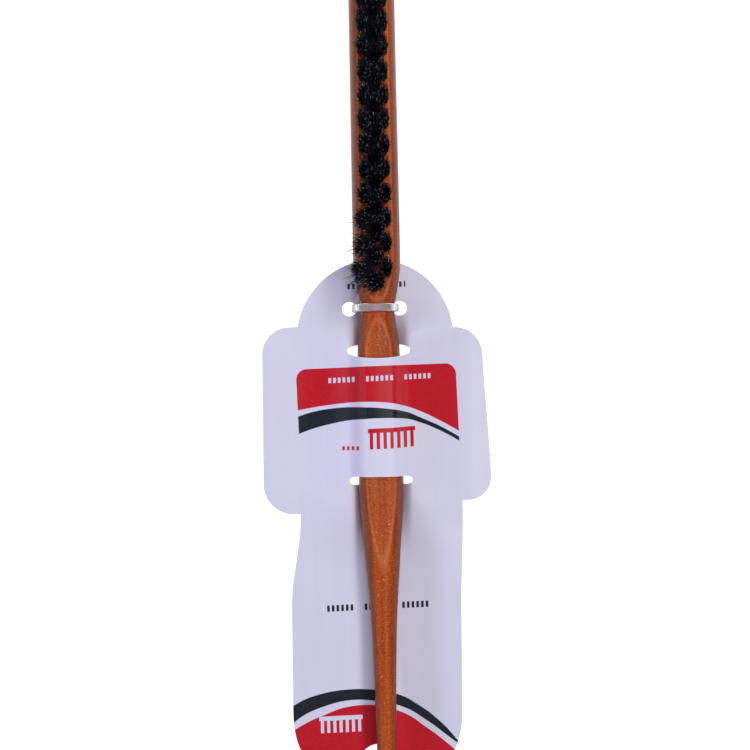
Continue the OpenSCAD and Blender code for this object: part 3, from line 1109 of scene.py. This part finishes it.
def build_tie(material):
    """The strap as a closed loop with rounded edges and a slightly crowned outside."""
    w, t = TIE_W / 2, TIE_T / 2
    flat_w, flat_t = w - TIE_EDGE, t - TIE_EDGE
    section = [
        (-w, flat_t), (-flat_w, t), (-w / 2, t), (0, t + TIE_CROWN), (w / 2, t), (flat_w, t),
        (w, flat_t), (w, -flat_t), (flat_w, -t), (0, -t), (-flat_w, -t), (-w, -flat_t),
    ]
    path = tie_path()
    verts, faces = [], []
    m = len(section)
    for x, z, nx, nz in path:
        for across, out in section:
            verts.append((TIE_X + x + nx * out, TIE_Y + across, z + nz * out))
    for i in range(len(path)):
        k = (i + 1) % len(path)
        for j in range(m):
            after = (j + 1) % m
            faces.append((i * m + j, k * m + j, k * m + after, i * m + after))
    strap = mesh_piece("tie_strap", verts, faces, "card", material, sharp_angle=35)
    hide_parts("cable_tie")


def build_tie_head(material):
    """The square head with its window, and the trimmed end of the strap through it."""
    width, length, height = (size / 2 for size in TIE_HEAD)
    bevel = TIE_HEAD_BEVEL
    window = length - TIE_HEAD_WALL
    low, high = TIE_WINDOW_Z
    outer = rounded_rectangle(-length, 0.0, length, 2 * height - 0.02, bevel)
    inner = rounded_rectangle(-window, low, window, high, TIE_WINDOW_R)
    verts, faces = [], []
    xs = [-width, -width + bevel / 2, width - bevel / 2, width]
    inset = [bevel / 2, 0.0, 0.0, bevel / 2]
    n = len(outer)
    for x, d in zip(xs, inset):
        for y, z in outer:
            cy, cz = y * (1 - d / length), height + (z - height) * (1 - d / height)
            verts.append((TIE_X + x, TIE_Y + cy, cz))
    for i in range(3):
        for j in range(n):
            k = (j + 1) % n
            faces.append((i * n + j, i * n + k, (i + 1) * n + k, (i + 1) * n + j))
    base = len(verts)
    for x in (xs[0], xs[3]):
        for y, z in inner:
            verts.append((TIE_X + x, TIE_Y + y, z))
    for j in range(n):
        k = (j + 1) % n
        faces.append((base + j, base + n + j, base + n + k, base + k))
        faces.append((j, base + j, base + k, k))
        faces.append((3 * n + k, base + n + k, base + n + j, 3 * n + j))
    start = len(verts)
    stub = rounded_rectangle(-TIE_W / 2, TIE_END_Z, TIE_W / 2, TIE_END_Z + TIE_T, TIE_END_R)
    for x in (-width, width + TIE_END_PAST):
        for y, z in stub:
            verts.append((TIE_X + x, TIE_Y + y, z))
    for j in range(n):
        k = (j + 1) % n
        faces.append((start + j, start + k, start + n + k, start + n + j))
    faces.append(tuple(range(start, start + n))[::-1])
    faces.append(tuple(range(start + n, start + 2 * n)))
    head = mesh_piece("tie_head", verts, faces, "card", material, sharp_angle=35)
    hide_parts("cable_tie")


def rounded_rectangle(x0, z0, x1, z1, r, steps=4):
    points = []
    corners = [(x1 - r, z1 - r, 0), (x0 + r, z1 - r, 1), (x0 + r, z0 + r, 2), (x1 - r, z0 + r, 3)]
    for cx, cz, quarter in corners:
        for i in range(steps + 1):
            a = math.pi / 2 * (quarter + i / steps)
            points.append((cx + r * math.cos(a), cz + r * math.sin(a)))
    return points


# ---------------------------------------------------------------- stage, light and camera

# the picture's width at the brush axis, and the camera's height over that axis
VIEW_WIDTH = 220.6
VIEW_DISTANCE = 450.0
VIEW_CENTRE = (-1.2, 2.9)
VIEW_ROLL = math.radians(-1.18)
SENSOR = 36.0
FLOOR_HALF = 4000.0


def build_floor():
    far = FLOOR_HALF
    corners = [(-far, -far, 0), (far, -far, 0), (far, far, 0), (-far, far, 0)]
    floor = mesh_object("floor", corners, [(0, 1, 2, 3)])
    floor.data.materials.append(floor_material())


def area_light(name, place, target, size, power, colour):
    """A rectangular light, in metres, whose second side stays along Y."""
    data = bpy.data.lights.new(name, "AREA")
    data.shape = "RECTANGLE"
    data.size, data.size_y = size
    data.energy = power
    data.color = colour
    light = bpy.data.objects.new(name, data)
    light.location = place
    back = (Vector(place) - Vector(target)).normalized()
    across = Vector((0, 1, 0)).cross(back).normalized()
    light.rotation_euler = Matrix((across, back.cross(across), back)).transposed().to_euler()
    bpy.context.scene.collection.objects.link(light)


def build_lights():
    world = bpy.data.worlds.new("studio")
    world.use_nodes = True
    background = world.node_tree.nodes["Background"]
    background.inputs["Color"].default_value = (0.93, 0.95, 1.0, 1.0)
    background.inputs["Strength"].default_value = 0.15
    bpy.context.scene.world = world
    area_light("key", (0.30, 0.05, 0.62), (0, 0, 0), (0.14, 0.9), 2.25, (1.0, 0.99, 0.98))
    area_light("top", (0.16, 0.08, 0.90), (0, 0, 0), (0.5, 0.5), 3.15, (1.0, 1.0, 1.0))
    area_light("fill", (-0.60, 0.0, 0.42), (0, 0, 0), (0.14, 0.9), 1.95, (0.74, 0.80, 1.0))
    area_light("low", (-0.55, -0.05, 0.16), (0, -0.05, 0), (0.03, 0.9), 0.4, (0.80, 0.84, 1.0))


def build_camera():
    data = bpy.data.cameras.new("camera")
    data.sensor_width = SENSOR
    data.lens = SENSOR * VIEW_DISTANCE / VIEW_WIDTH
    data.clip_start = 0.01
    camera = bpy.data.objects.new("camera", data)
    camera.location = Vector((*VIEW_CENTRE, AXIS_Z + VIEW_DISTANCE)) * MM
    camera.rotation_euler = (0.0, 0.0, VIEW_ROLL)
    bpy.context.scene.collection.objects.link(camera)
    bpy.context.scene.camera = camera


def main():
    build_camera()
    build_wood(wood_material())
    bristle = bristle_material()
    for row, count in enumerate(ROW_COUNTS):
        for k in range(count):
            build_tuft(row, k, bristle)
    steel = anchor_material()
    for name in ROW_NAMES:
        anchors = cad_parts["anchor_wires_" + name]
        for material_slot in anchors.material_slots:
            material_slot.material = steel
    build_card(card_front_material(), card_back_material())
    nylon = nylon_material()
    build_tie(nylon)
    build_tie_head(nylon)
    build_floor()
    build_lights()
    bpy.context.scene.view_settings.view_transform = "Standard"


main()
